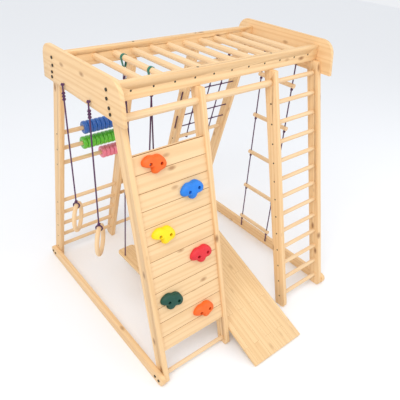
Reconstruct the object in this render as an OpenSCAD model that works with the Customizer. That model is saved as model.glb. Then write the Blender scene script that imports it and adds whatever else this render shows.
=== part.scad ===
// Wooden play gym: climbing wall, ladders, monkey bars, slide, swing, gym rings,
// rope ladder, rope net and counting beads on one free-standing A-frame.
// X runs along the top beams, the climbing wall faces -Y, Z is up.

/* [Top frame] */
// Height of the beams' top edge above the floor
frame_h = 1520; // [1350:10:1700]
// Clear length of the beams between the end panels
beam_len = 1320; // [1260:10:1500]
// Height of a beam
beam_h = 82; // [70:1:100]
// Thickness of a beam
beam_t = 34; // [30:1:40]
// Depth over the outer faces of the two beams
top_depth = 558; // [500:2:620]
// Thickness of an end panel
panel_t = 20; // [18:1:24]
// Height of an end panel
panel_h = 183; // [170:1:200]
// How far an end panel rises above the beams
panel_rise = 35; // [20:1:45]
// How far an end panel's lower edge passes the beams' outer faces
panel_past = 111; // [95:1:125]
// Radius of an end panel's upper corners
panel_corner = 80; // [50:1:90]
// Diameter of a monkey bar
bar_d = 32; // [28:1:36]
// Number of monkey bars
bar_count = 11; // [9:1:12]
// Distance between neighbouring monkey bars
bar_pitch = 115; // [105:1:118]

/* [Legs] */
// Depth over the outer edges of the feet
foot_depth = 1380; // [1300:10:1500]
// Depth over the outer edges of the legs where they meet the beams
leg_top_depth = 626; // [600:2:660]
// Thickness of a leg
leg_t = 28; // [24:1:32]
// Width of a leg
leg_w = 75; // [70:1:85]
// Rounding of a leg's outer foot corner
foot_r = 24; // [15:1:30]
// Height of a base rail
rail_h = 70; // [60:1:80]
// Thickness of a base rail
rail_t = 28; // [24:1:32]

/* [Ladders] */
// Diameter of a ladder rung
rung_d = 25; // [22:1:30]
// Distance between neighbouring rungs along a leg
rung_pitch = 112; // [105:1:115]
// Clear width of the front ladder
front_ladder_w = 326; // [300:2:360]
// Height of the front ladder's lowest rung along the leg
front_rung_start = 84; // [70:1:100]
// Number of rungs in the front ladder
front_rungs = 13; // [11:1:13]
// Clear width of the rear ladder
rear_ladder_w = 390; // [370:2:400]
// Height of the rear ladder's lowest rung along the leg
rear_rung_start = 100; // [90:1:120]
// Number of rungs in the rear ladder
rear_rungs = 5; // [4:1:6]
// Height of the lowest bead rung along the leg
bead_rung_start = 870; // [860:1:900]
// Diameter of the long front bar and of the bar that carries the slide
long_bar_d = 36; // [32:1:38]
// Depth of the blind socket that a rung or a bar sits in
socket_depth = 10; // [8:1:12]

/* [Climbing wall] */
// Clear width between the climbing wall's legs
wall_w = 408; // [390:2:430]
// Number of tongued boards
board_count = 12; // [10:1:12]
// Distance between neighbouring boards
board_pitch = 88; // [84:1:90]
// Thickness of a board
board_t = 18; // [16:1:20]
// Height of the lowest board's edge along the leg
board_start = 205; // [195:1:240]
// How far the boards lie behind the legs' front edges
board_recess = 12; // [8:1:20]
// Side of a batten behind the boards
batten = 28; // [22:1:30]
// Depth of a climbing hold, from the board to its top
hold_depth = 44; // [36:1:52]
// Diameter of a hold's bolt
hold_bolt_d = 8; // [8:1:10]

/* [Slide] */
// Width of the slide
slide_w = 380; // [340:2:400]
// Thickness of the slide board
slide_t = 18; // [16:1:24]
// Distance from the frame's middle to the slide's foot
slide_reach = 890; // [860:5:960]
// Height along the leg of the bar that the slide hooks over
slide_bar_at = 548; // [540:1:560]

/* [Ropes and toys] */
// Diameter of the ropes
rope_d = 8; // [6:1:9]
// Outer diameter of a gym ring
ring_d = 180; // [160:2:190]
// Thickness of a gym ring
ring_t = 24; // [20:1:26]
// Height of a gym ring's centre
ring_z = 632; // [560:2:700]
// Length of the swing seat
seat_l = 400; // [360:5:430]
// Width of the swing seat
seat_w = 125; // [110:1:150]
// Thickness of the swing seat
seat_t = 18; // [16:1:22]
// Height of the swing seat's top face
seat_z = 192; // [180:1:300]
// Diameter of a counting bead
bead_d = 76; // [68:1:80]
// Thickness of a counting bead
bead_t = 26; // [22:1:30]
// Number of rungs in the rope ladder
rope_rungs = 5; // [4:1:5]
// Distance between neighbouring rungs of the rope ladder
rope_rung_pitch = 281; // [260:1:285]
// Number of ropes across the net
net_rows = 5; // [4:1:5]
// Distance between neighbouring net ropes
net_pitch = 94; // [85:1:96]

/* [Hidden] */
$fn = 48;
eps = 0.01;
fit_gap = 0.1;              // radial clearance of a dowel in its socket
touch_gap = 0.3;            // rest gap between pieces that lie on each other
pine = "#EFC796";
light_pine = "#F3D0A2";
plum = "#4A2C48";
steel = "#B9BCC0";
lean = atan((foot_depth - leg_top_depth) / 2 / (frame_h - beam_h));
half_foot = foot_depth / 2;
leg_top = frame_h - beam_h;
leg_run = leg_w / cos(lean);
half_len = beam_len / 2;
bar_z = frame_h - beam_h / 2;
bar_len = top_depth - 2 * beam_t + 2 * socket_depth;
panel_low = frame_h + panel_rise - panel_h;
top_rung = front_rung_start + (front_rungs - 1) * rung_pitch;
mid_w = leg_w / 2;
// Inner edges of the leg pairs, measured from the middle of the frame
wall_left = -half_len + leg_t;
wall_right = wall_left + wall_w;
ladder_right = half_len - leg_t;
ladder_left = ladder_right - front_ladder_w;
// The same edges on the rear side, in its own turned frame
net_left = wall_left;
net_right = wall_right;
beads_right = half_len - leg_t;
beads_left = beads_right - rear_ladder_w;
// Ropes and toys
hole_d = rope_d + 0.8;
elbow_d = rope_d + 0.6;
knot_r = rope_d * 1.2;
ring_r = (ring_d - ring_t) / 2;
ring_turn = 50;
rope_far_y = 150;
rope_near_y = -110;
rope_hole_z = panel_low + 28;
ring_x = -half_len - panel_t - touch_gap - knot_r;
rope_ladder_x = half_len - rope_d / 2 - 4;
rope_rung_d = 28;
rope_rung_top = 1250;
swing_bar = 2;              // counted from the left, starting at 0
swing_y = 33;
swing_rope_half = 123;
strap_w = 18;
strap_t = 3;
strap_drop = 46;
strap_eye = 7;
link_wire = 6;
link_len = 64;
link_half = 14;
link_corner = 4;
seat_hole_x = 46;
bead_pitch = bead_t + touch_gap;
beads_per_row = [10, 10, 5];
first_bar = -(bar_count - 1) / 2 * bar_pitch;
swing_x = first_bar + swing_bar * bar_pitch;
// Box of the whole gym, so that its bottom centre is the origin
left_reach = -ring_x + ring_r * cos(ring_turn) + ring_t / 2;
right_reach = half_len + rail_t + touch_gap + knot_r * 2;
mid_x = (left_reach - right_reach) / 2;
slide_bar_y = half_foot - slide_bar_at * sin(lean) - mid_w * cos(lean);
slide_bar_z = slide_bar_at * cos(lean) - mid_w * sin(lean);
slide_seat = long_bar_d / 2 + touch_gap;
slide_run = norm([slide_reach + slide_bar_y, slide_bar_z]);
slide_tilt = atan(slide_bar_z / (slide_reach + slide_bar_y)) + asin(slide_seat / slide_run);
slide_len = sqrt(slide_run * slide_run - slide_seat * slide_seat) + 45;
slide_tip = slide_reach + slide_t * sin(slide_tilt);
mid_y = (slide_tip - half_foot) / 2;
// Midway between the wall's right leg and the net's inner leg
slide_x = (wall_right - net_right) / 2;
// Holds on the wall: place across, place up, turn, colour and shape
HOLDS = [
    ["upper_orange_hold", 102, 1210, -8, "#F4651A", 1],
    ["blue_hold", 294, 1026, 10, "#1F7FE0", 2],
    ["yellow_hold", 96, 856, -6, "#FFDD10", 1],
    ["red_hold", 302, 668, 8, "#E02A35", 2],
    ["green_hold", 88, 488, -12, "#0B4A3A", 2],
    ["lower_orange_hold", 274, 334, 6, "#F4651A", 1]];
hold_bolt_half = 27;

// ---- Frames ----------------------------------------------------------------
// Middle of the frame on the floor, seen from the front
module gym() translate([mid_x, mid_y, 0]) children();
// The same, seen from behind
module gym_rear() gym() rotate([0, 0, 180]) children();
// A leaning side: x across, y inward from the legs' outer edges, z up the legs
module slope() translate([0, -half_foot, 0]) rotate([-lean, 0, 0]) children();
// A round piece along x from x1 to x2, a distance in and up the slope
module across(x1, x2, up, in_w, d) slope() translate([x1, in_w, up]) rotate([0, 90, 0])
    cylinder(d = d, h = x2 - x1);
// A round bar between two points
module rod(p, q, d) {
    v = q - p;
    translate(p) rotate([0, acos(v[2] / norm(v)), atan2(v[1], v[0])]) cylinder(d = d, h = norm(v));
}
// A ring of round wire about z
module wire_ring(r, d) rotate_extrude() translate([r, 0]) circle(d = d);

// ---- Legs --------------------------------------------------------------------
function slope_point(up, in_w) = [-half_foot + up * sin(lean) + in_w * cos(lean),
    up * cos(lean) - in_w * sin(lean)];
module leg_outline() {
    corner = 90 - lean;
    reach = foot_r / tan(corner / 2);
    top_y = -half_foot + leg_top * tan(lean);
    translate([-half_foot + reach, foot_r]) circle(r = foot_r);
    polygon([[-half_foot + reach, 0], [-half_foot + leg_run, 0], [top_y + leg_run, leg_top],
        [top_y, leg_top], [-half_foot + reach * sin(lean), reach * cos(lean)]]);
}
// One leg with its outer face at x and blind sockets on its inner side (side = 1 or -1).
// A rung in the list unscrewed shares its axis with a bar on the leg's other side.
module leg(x, side, rungs, rung_dia, unscrewed = []) difference() {
    translate([side > 0 ? x : x - leg_t, 0, 0]) rotate([90, 0, 90]) linear_extrude(leg_t) leg_outline();
    for (up = rungs) socket(x, side, up, rung_dia);
    for (up = screwed(rungs, unscrewed)) {
        across(side > 0 ? x - eps : x - leg_t - eps, side > 0 ? x + leg_t + eps : x + eps,
            up, mid_w, screw_d + 2 * fit_gap);
        across(side > 0 ? x - eps : x - head_t - fit_gap, side > 0 ? x + head_t + fit_gap : x + eps,
            up, mid_w, head_d + 2 * fit_gap);
    }
}
function screwed(rungs, unscrewed) = [for (up = rungs) if (len(search(up, unscrewed)) == 0) up];
module socket(x, side, up, dia) {
    face = x + side * leg_t;
    across(side > 0 ? face - socket_depth : face - eps, side > 0 ? face + eps : face + socket_depth,
        up, mid_w, dia + 2 * fit_gap);
}
screw_d = 5;
head_d = 10;
head_t = 3;
screw_bite = 34;
// Holes for the bolts that hold a leg to its panel and to its rail
panel_bolt_d = 7;
leg_bolt_z = [panel_low + 26, panel_low + 52];
function leg_mid_y(z) = -half_foot + z * tan(lean) + leg_run / 2;
rail_bolt_z = rail_h / 2;
rail_bolt_half = 17;
leg_bolt_bite = leg_t - socket_depth - 2;
module bolt_holes(x1, x2) {
    for (z = leg_bolt_z) translate([x1, leg_mid_y(z), z]) rotate([0, 90, 0])
        cylinder(d = panel_bolt_d + 2 * fit_gap, h = x2 - x1);
    for (dy = [-rail_bolt_half, rail_bolt_half])
        translate([x1, leg_mid_y(rail_bolt_z) + dy, rail_bolt_z]) rotate([0, 90, 0])
            cylinder(d = panel_bolt_d + 2 * fit_gap, h = x2 - x1);
}
// Hole for the screw that comes down through the beam
beam_screw_d = 7;
beam_mid_y = -(top_depth - beam_t) / 2;
module beam_screw_hole(x, z1, z2) translate([x, beam_mid_y, z1])
    cylinder(d = beam_screw_d + 2 * fit_gap, h = z2 - z1);

function ladder_rungs(start, count) = [for (i = [0 : count - 1]) start + i * rung_pitch];
front_set = ladder_rungs(front_rung_start, front_rungs);
rear_set = ladder_rungs(rear_rung_start, rear_rungs);
bead_set = ladder_rungs(bead_rung_start, 3);
foot_bar_up = 48;
bar_up = top_rung;
middle_bar_up = rear_rung_start + 3 * rung_pitch;
net_bottom_up = 812;
net_top_up = net_bottom_up + (net_rows + 1) * net_pitch;
net_low_up = rear_rung_start;
rear_bars = [net_low_up, middle_bar_up, slide_bar_at];
function net_row(i) = net_bottom_up + (i + 1) * net_pitch;
row_in = mid_w + rope_d / 2 + touch_gap / 2;
column_in = mid_w - rope_d / 2 - touch_gap / 2;

module outer_leg(rungs, rung_dia) difference() {
    leg(-half_len, 1, rungs, rung_dia);
    bolt_holes(-half_len - eps, -half_len + leg_bolt_bite + fit_gap);
}
module inner_leg(x, rungs, rung_dia) difference() {
    leg(x, -1, rungs, rung_dia);
    beam_screw_hole(x - leg_t / 2 + beam_screw_off, leg_top - 42, leg_top + eps);
}

module wall_left_leg() color(pine) gym() difference() {
    outer_leg([foot_bar_up], rung_d);
    socket(-half_len, 1, bar_up, long_bar_d);
}
module wall_right_leg() color(pine) gym() difference() {
    inner_leg(wall_right + leg_t, [foot_bar_up], rung_d);
    across(wall_right - eps, wall_right + leg_t + eps, bar_up, mid_w, long_bar_d + 2 * fit_gap);
}
module front_ladder_outer_leg() color(pine) gym() mirror([1, 0, 0]) outer_leg(front_set, rung_d);
module front_ladder_inner_leg() color(pine) gym() difference() {
    mirror([1, 0, 0]) leg(-ladder_left + leg_t, -1, front_set, rung_d, [bar_up]);
    beam_screw_hole(ladder_left - leg_t / 2 - beam_screw_off, leg_top - 42, leg_top + eps);
    socket(ladder_left, -1, bar_up, long_bar_d);
}
module rear_ladder_outer_leg() color(pine) gym_rear() mirror([1, 0, 0])
    outer_leg(concat(rear_set, bead_set), rung_d);
module rear_ladder_inner_leg() color(pine) gym_rear() difference() {
    mirror([1, 0, 0]) leg(-beads_left + leg_t, -1, concat(rear_set, bead_set), rung_d, rear_bars);
    beam_screw_hole(beads_left - leg_t / 2 - beam_screw_off, leg_top - 42, leg_top + eps);
    for (up = [net_low_up, middle_bar_up]) socket(beads_left, -1, up, rung_d);
    socket(beads_left, -1, slide_bar_at, long_bar_d);
}
module net_inner_leg() color(pine) gym_rear() difference() {
    inner_leg(net_right + leg_t, [net_bottom_up, net_top_up], rung_d);
    for (up = [net_low_up, middle_bar_up]) socket(net_right, 1, up, rung_d);
    socket(net_right, 1, slide_bar_at, long_bar_d);
    for (i = [0 : net_rows - 1]) across(net_right - eps, net_right + leg_t + eps, net_row(i), row_in, hole_d);
}
module net_outer_leg() color(pine) gym_rear() difference() {
    outer_leg([net_bottom_up, net_top_up], rung_d);
    for (i = [0 : net_rows - 1])
        across(-half_len - eps, -half_len + leg_t + eps, net_row(i), row_in, hole_d);
}

// ---- Rungs and bars ------------------------------------------------------------
// A dowel between two faces with a pilot hole in each end
module dowel(x1, x2, up, dia) difference() {
    across(x1 - socket_depth + fit_gap, x2 + socket_depth - fit_gap, up, mid_w, dia);
    for (x = [x1 - socket_depth, x2 + socket_depth - screw_bite])
        across(x, x + screw_bite, up, mid_w, screw_d + 2 * fit_gap);
}
module plain_dowel(x1, x2, up, dia)
    across(x1 - socket_depth + fit_gap, x2 + socket_depth - fit_gap, up, mid_w, dia);
module front_ladder_rungs() color(light_pine) gym()
    for (up = front_set) dowel(ladder_left, ladder_right, up, rung_d);
module rear_ladder_rungs() color(light_pine) gym_rear()
    for (up = rear_set) dowel(beads_left, beads_right, up, rung_d);
module bead_rungs() color(light_pine) gym_rear()
    for (up = bead_set) dowel(beads_left, beads_right, up, rung_d);
module wall_foot_bar() color(light_pine) gym() dowel(wall_left, wall_right, foot_bar_up, rung_d);
module front_long_bar() color(light_pine) gym()
    plain_dowel(wall_left, ladder_left - leg_t, bar_up, long_bar_d);
module rear_upper_bar() color(light_pine) gym_rear()
    plain_dowel(net_right + leg_t, beads_left - leg_t, slide_bar_at, long_bar_d);
module rear_middle_bar() color(light_pine) gym_rear()
    plain_dowel(net_right + leg_t, beads_left - leg_t, middle_bar_up, rung_d);
module rear_lower_bar() color(light_pine) gym_rear()
    plain_dowel(net_right + leg_t, beads_left - leg_t, net_low_up, rung_d);
module net_crossbars() color(light_pine) gym_rear() difference() {
    for (up = [net_bottom_up, net_top_up]) dowel(net_left, net_right, up, rung_d);
    for (i = [1 : 3]) slope() translate([net_column(i), column_in, net_bottom_up - rung_d])
        cylinder(d = hole_d, h = net_top_up - net_bottom_up + 2 * rung_d);
}
module monkey_bars() color(light_pine) gym() for (i = [0 : bar_count - 1]) difference() {
    translate([first_bar + i * bar_pitch, 0, bar_z]) rotate([90, 0, 0])
        cylinder(d = bar_d, h = bar_len - 2 * fit_gap, center = true);
    for (s = [-1, 1]) translate([first_bar + i * bar_pitch, s * (bar_len - screw_bite) / 2, bar_z])
        rotate([90, 0, 0]) cylinder(d = screw_d + 2 * fit_gap, h = screw_bite + eps, center = true);
}

// ---- Top frame --------------------------------------------------------------------
module beam(inner_legs) difference() {
    translate([-half_len, -top_depth / 2, leg_top]) cube([beam_len, beam_t, beam_h]);
    for (i = [0 : bar_count - 1]) translate([first_bar + i * bar_pitch, 0, bar_z]) rotate([90, 0, 0]) {
        cylinder(d = bar_d + 2 * fit_gap, h = bar_len / 2);
        cylinder(d = screw_d + 2 * fit_gap, h = top_depth / 2 + eps);
        translate([0, 0, top_depth / 2 - head_t - fit_gap]) cylinder(d = head_d + 2 * fit_gap, h = head_t + 1);
    }
    for (s = [-1, 1]) for (z = beam_bolt_z) translate([s * (half_len - 22.5), beam_mid_y, z])
        rotate([0, 90, 0]) cylinder(d = panel_bolt_d + 2 * fit_gap, h = 45 + eps, center = true);
    for (x = inner_legs) {
        beam_screw_hole(x, leg_top - eps, frame_h + eps);
        translate([x, beam_mid_y, frame_h - head_t - fit_gap]) cylinder(d = 13 + 2 * fit_gap, h = head_t + 1);
    }
}
beam_bolt_z = [leg_top + 22, leg_top + 60];
beam_screw_off = 6;         // keeps the screws clear of the monkey bars' own
front_inner = [wall_right + leg_t / 2 + beam_screw_off, ladder_left - leg_t / 2 - beam_screw_off];
rear_inner = [net_right + leg_t / 2 + beam_screw_off, beads_left - leg_t / 2 - beam_screw_off];
module front_beam() color(pine) gym() beam(front_inner);
module rear_beam() color(pine) gym_rear() beam(rear_inner);

// An end panel's outline, with ends that follow the legs and round upper corners
module panel_outline() {
    low = top_depth / 2 + panel_past;
    slant = panel_h * tan(lean) * 0.55;
    high = low - slant;
    turn = atan(slant / panel_h);
    corner_y = high - panel_corner * (1 / cos(turn) - tan(turn));
    difference() {
        polygon([[-low, 0], [low, 0], [high, panel_h], [-high, panel_h]]);
        for (s = [-1, 1]) difference() {
            polygon([[s * corner_y, panel_h + 1], [s * (low + 1), panel_h + 1],
                [s * (low + 1), panel_h - panel_corner + panel_corner * sin(turn)],
                [s * (corner_y + panel_corner * cos(turn)), panel_h - panel_corner + panel_corner * sin(turn)],
                [s * corner_y, panel_h - panel_corner]]);
            translate([s * corner_y, panel_h - panel_corner]) circle(r = panel_corner);
        }
    }
}
module end_panel(rope_ys) difference() {
    translate([-half_len - panel_t, 0, panel_low]) rotate([90, 0, 90]) linear_extrude(panel_t) panel_outline();
    for (s = [0, 180]) rotate([0, 0, s]) mirror([s > 0 ? 1 : 0, 0, 0])
        bolt_holes(-half_len - panel_t - eps, -half_len + eps);
    for (s = [-1, 1]) for (z = beam_bolt_z) translate([-half_len - panel_t - eps, s * beam_mid_y, z])
        rotate([0, 90, 0]) cylinder(d = panel_bolt_d + 2 * fit_gap, h = panel_t + 2 * eps);
    for (y = rope_ys) translate([-half_len - panel_t - eps, y, rope_hole_z]) rotate([0, 90, 0])
        cylinder(d = hole_d, h = panel_t + 2 * eps);
}
module left_end_panel() color(pine) gym() end_panel([rope_far_y, rope_near_y]);
module right_end_panel() color(pine) gym_rear() end_panel([rope_far_y, rope_near_y]);

// ---- Climbing wall -------------------------------------------------------------------
module board_outline() {
    tongue = 6;
    edge = board_pitch - touch_gap;
    mid = board_t / 2;
    chamfer = 2;
    polygon([[chamfer, 0], [mid - 3.2, 0], [mid - 3.2, tongue + touch_gap], [mid + 3.2, tongue + touch_gap],
        [mid + 3.2, 0], [board_t, 0], [board_t, edge], [mid + 2.8, edge], [mid + 2.8, edge + tongue],
        [mid - 2.8, edge + tongue], [mid - 2.8, edge], [chamfer, edge], [0, edge - chamfer], [0, chamfer]]);
}
module wall_boards() color(light_pine) gym() slope() difference() {
    for (i = [0 : board_count - 1])
        translate([wall_left + touch_gap, board_recess, board_start + i * board_pitch])
            rotate([90, 0, 90]) linear_extrude(wall_w - 2 * touch_gap) board_outline();
    for (h = HOLDS) hold_bolt_places(h) translate([0, 0, -board_t - 1])
        cylinder(d = hold_bolt_d + 2 * fit_gap, h = board_t + 2);
}
batten_in = board_recess + board_t + touch_gap;
module wall_battens() color(pine) gym() slope() difference() {
    for (x = [wall_left + touch_gap, wall_right - batten - touch_gap])
        translate([x, batten_in, board_start + 10])
            cube([batten, batten, board_count * board_pitch - 20]);
}
// Turns z to point out of the boards at a hold, with y up the wall
module hold_place(h) translate([wall_left + h[1], board_recess, h[2]]) rotate([90, 0, 0]) rotate([0, 0, h[3]])
    children();
module hold_bolt_places(h) hold_place(h) for (s = [-1, 1]) translate([s * hold_bolt_half, 0, 0]) children();
hold_head_d = 15;
hold_sink = 12;
module hold_body(shape) intersection() {
    hull() {
        translate([-44, 4, 4]) sphere(r = shape == 1 ? 20 : 24, $fn = 20);
        translate([-22, shape == 1 ? 12 : 16, 12]) sphere(r = 27, $fn = 20);
        translate([20, 6, hold_depth - 34]) sphere(r = 34, $fn = 24);
        translate([40, -8, 8]) sphere(r = 25, $fn = 20);
        translate([shape == 1 ? 8 : -8, -30, 4]) sphere(r = 20, $fn = 20);
    }
    translate([-100, -100, touch_gap]) cube([200, 200, hold_depth + 1]);
}
module hold(h) color(h[4]) gym() slope() hold_place(h) difference() {
    hold_body(h[5]);
    for (s = [-1, 1]) translate([s * hold_bolt_half, 0, 0]) {
        translate([0, 0, -1]) cylinder(d = hold_bolt_d + 2 * fit_gap, h = hold_depth + 2);
        translate([0, 0, hold_sink]) cylinder(d = hold_head_d + 2, h = hold_depth);
    }
}
module upper_orange_hold() hold(HOLDS[0]);
module blue_hold() hold(HOLDS[1]);
module yellow_hold() hold(HOLDS[2]);
module red_hold() hold(HOLDS[3]);
module green_hold() hold(HOLDS[4]);
module lower_orange_hold() hold(HOLDS[5]);
nut_plate_t = 2;
nut_d = 22;
module hold_bolts() color(steel) gym() slope() for (h = HOLDS) hold_bolt_places(h) {
    translate([0, 0, -board_t - nut_plate_t - 6]) cylinder(d = hold_bolt_d, h = board_t + nut_plate_t + 6 + hold_sink + 1);
    translate([0, 0, hold_sink + touch_gap]) cylinder(d = hold_head_d, h = 6);
}
module hold_tee_nuts() color(steel) gym() slope() for (h = HOLDS) hold_bolt_places(h) difference() {
    translate([0, 0, -board_t - touch_gap - nut_plate_t]) cylinder(d = nut_d, h = nut_plate_t);
    translate([0, 0, -board_t - nut_plate_t - 1]) cylinder(d = hold_bolt_d + 2 * fit_gap, h = nut_plate_t + 2);
}

// ---- Base rails ----------------------------------------------------------------------------
module base_rail(rope_ys) difference() {
    translate([-half_len - rail_t, 0, 0]) rotate([90, 0, 90]) linear_extrude(rail_t) {
        translate([-half_foot + rail_h / 2, 0]) square([foot_depth - rail_h, rail_h]);
        for (s = [-1, 1]) translate([s * (half_foot - rail_h / 2), rail_h / 2]) circle(d = rail_h);
    }
    for (s = [0, 180]) rotate([0, 0, s]) mirror([s > 0 ? 1 : 0, 0, 0])
        bolt_holes(-half_len - rail_t - eps, -half_len + eps);
    for (y = rope_ys) translate([-half_len - rail_t - eps, y, rail_h / 2]) rotate([0, 90, 0])
        cylinder(d = hole_d, h = rail_t + 2 * eps);
}
module left_base_rail() color(pine) gym() base_rail([]);
module right_base_rail() color(pine) gym_rear() base_rail([rope_far_y, rope_near_y]);

// ---- Slide --------------------------------------------------------------------------------------
// The slide's own frame: origin at its foot, y up the board, z out of its top face
module slide_frame() gym() translate([slide_x, -slide_reach, 0]) rotate([slide_tilt, 0, 0]) children();
module slide_board() color(light_pine) slide_frame() translate([-slide_w / 2, 0, 0])
    cube([slide_w, slide_len, slide_t]);
module slide_hooks() color(pine) slide_frame() for (s = [-1, 1]) difference() {
    translate([s * 120 - 20, slide_len - 45 - 42, -44]) cube([40, 84, 44 - touch_gap]);
    translate([s * 120 - 30, slide_len - 45, -slide_seat]) rotate([0, 90, 0])
        cylinder(d = long_bar_d + 2 * touch_gap, h = 60);
    translate([s * 120 - 30, slide_len - 45 - slide_seat, -60]) cube([60, 2 * slide_seat, 60 - slide_seat]);
}

// ---- Swing --------------------------------------------------------------------------------------
strap_r = bar_d / 2 + touch_gap;
// A strap's side view: round the bar at the top and round a small eye below
module teardrop(r1, r2) {
    s = -(r1 - r2) / strap_drop;
    c = sqrt(1 - s * s);
    circle(r = r1);
    translate([0, -strap_drop]) circle(r = r2);
    polygon([[r1 * c, r1 * s], [r2 * c, -strap_drop + r2 * s], [-r2 * c, -strap_drop + r2 * s], [-r1 * c, r1 * s]]);
}
swing_ys = [swing_y - swing_rope_half, swing_y + swing_rope_half];
module at_swing(y) gym() translate([swing_x, y, bar_z]) children();
module swing_straps() color("#1E7A66") for (y = swing_ys) at_swing(y) rotate([90, 0, 0])
    linear_extrude(strap_w, center = true) difference() {
        teardrop(strap_r + strap_t, strap_eye);
        teardrop(strap_r, strap_eye - strap_t);
    }
link_top = -strap_drop - (strap_eye - strap_t) + link_wire / 2 + touch_gap;
link_side = link_len - link_wire;
module swing_links() color(steel) for (y = swing_ys) at_swing(y) translate([0, 0, link_top - link_side / 2])
    rotate([90, 0, 90]) for (side = [-1, 1]) {
        for (turn = [0, 180]) rotate([0, 0, turn]) {
            translate([side * (link_half - link_corner), link_side / 2 - link_corner, 0])
                rotate([0, 0, side > 0 ? 0 : 90]) rotate_extrude(angle = 90)
                    translate([link_corner, 0]) circle(d = link_wire);
        }
        translate([side * link_half, 0, 0]) rotate([90, 0, 0])
            cylinder(d = link_wire, h = link_side - 2 * link_corner, center = true);
        translate([0, side * link_side / 2, 0]) rotate([0, 90, 0])
            cylinder(d = link_wire, h = 2 * (link_half - link_corner), center = true);
    }
link_low = link_top - link_side;
eye_r = link_wire / 2 + touch_gap + rope_d / 2 + 0.5;
swing_knot = link_low - eye_r - rope_d / 2 - knot_r * 0.6;
seat_under = seat_z - seat_t;
module swing_rope(y) color(plum) {
    at_swing(y) {
        translate([0, 0, link_low]) rotate([90, 0, 0]) wire_ring(eye_r, rope_d);
        translate([0, 0, swing_knot]) sphere(r = knot_r);
    }
    gym() for (s = [-1, 1]) {
        low = [swing_x + s * seat_hole_x, y, seat_z + rope_d];
        rod([swing_x, y, bar_z + swing_knot], low, rope_d);
        translate(low) sphere(d = elbow_d);
        rod(low, [low[0], y, seat_under - knot_r * 0.5], rope_d);
        translate([low[0], y, seat_under - knot_r - touch_gap]) sphere(r = knot_r);
    }
}
module swing_front_rope() swing_rope(swing_ys[0]);
module swing_rear_rope() swing_rope(swing_ys[1]);
module swing_seat() color(light_pine) gym() difference() {
    translate([swing_x, swing_y, seat_under]) linear_extrude(seat_t) union() {
        square([seat_w, seat_l - 50], center = true);
        square([seat_w - 50, seat_l], center = true);
        for (sx = [-1, 1]) for (sy = [-1, 1])
            translate([sx * (seat_w / 2 - 25), sy * (seat_l / 2 - 25)]) circle(r = 25);
    }
    for (y = swing_ys) for (s = [-1, 1]) translate([swing_x + s * seat_hole_x, y, seat_under - 1])
        cylinder(d = hole_d, h = seat_t + 2);
}

// ---- Gym rings -------------------------------------------------------------------------------------
ring_eye_r = ring_t / 2 + touch_gap + rope_d / 2 + 0.5;
ring_top = ring_z + ring_r;
ring_knot_z = ring_top + ring_eye_r + rope_d / 2 + knot_r * 0.6;
module gym_ring(y) color(light_pine) gym() translate([ring_x, y, ring_z]) rotate([90, 0, ring_turn])
    wire_ring(ring_r, ring_t);
module ring_rope(y) color(plum) gym() {
    translate([ring_x, y, rope_hole_z]) sphere(r = knot_r);
    rod([ring_x, y, ring_knot_z], [ring_x, y, rope_hole_z], rope_d);
    translate([ring_x, y, ring_knot_z]) sphere(r = knot_r);
    translate([ring_x, y, ring_top]) rotate([90, 0, ring_turn + 90]) wire_ring(ring_eye_r, rope_d);
}
module front_gym_ring() gym_ring(rope_near_y);
module rear_gym_ring() gym_ring(rope_far_y);
module front_ring_rope() ring_rope(rope_near_y);
module rear_ring_rope() ring_rope(rope_far_y);
module ring_rope_anchors() color(plum) gym() for (y = [rope_far_y, rope_near_y]) {
    rod([-half_len - panel_t, y, rope_hole_z], [-half_len + touch_gap + knot_r, y, rope_hole_z], rope_d);
    translate([-half_len + touch_gap + knot_r, y, rope_hole_z]) sphere(r = knot_r);
}

// ---- Rope ladder ------------------------------------------------------------------------------------
rope_rung_zs = [for (i = [0 : rope_rungs - 1]) rope_rung_top - i * rope_rung_pitch];
rope_rung_over = 16;
module rope_ladder_rungs() color(light_pine) gym_rear() for (z = rope_rung_zs) difference() {
    translate([-rope_ladder_x, rope_near_y - rope_rung_over, z]) rotate([-90, 0, 0])
        cylinder(d = rope_rung_d, h = rope_far_y - rope_near_y + 2 * rope_rung_over);
    for (y = [rope_far_y, rope_near_y]) translate([-rope_ladder_x, y, z - rope_rung_d])
        cylinder(d = hole_d, h = 2 * rope_rung_d);
}
module rope_ladder_rope(y) color(plum) gym_rear() {
    top = [-rope_ladder_x, y, rope_hole_z];
    low = [-rope_ladder_x, y, rail_h / 2];
    rod(low, top, rope_d);
    translate(top) sphere(d = elbow_d);
    translate(low) sphere(d = elbow_d);
    rod([-half_len - panel_t - touch_gap - knot_r, y, rope_hole_z], top, rope_d);
    translate([-half_len - panel_t - touch_gap - knot_r, y, rope_hole_z]) sphere(r = knot_r);
    rod([-half_len - rail_t - touch_gap - knot_r, y, rail_h / 2], low, rope_d);
    translate([-half_len - rail_t - touch_gap - knot_r, y, rail_h / 2]) sphere(r = knot_r);
    for (z = rope_rung_zs) translate([-rope_ladder_x, y, z - rope_rung_d / 2 - touch_gap - knot_r])
        sphere(r = knot_r);
}
module rope_ladder_front_rope() rope_ladder_rope(rope_far_y);
module rope_ladder_rear_rope() rope_ladder_rope(rope_near_y);

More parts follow.
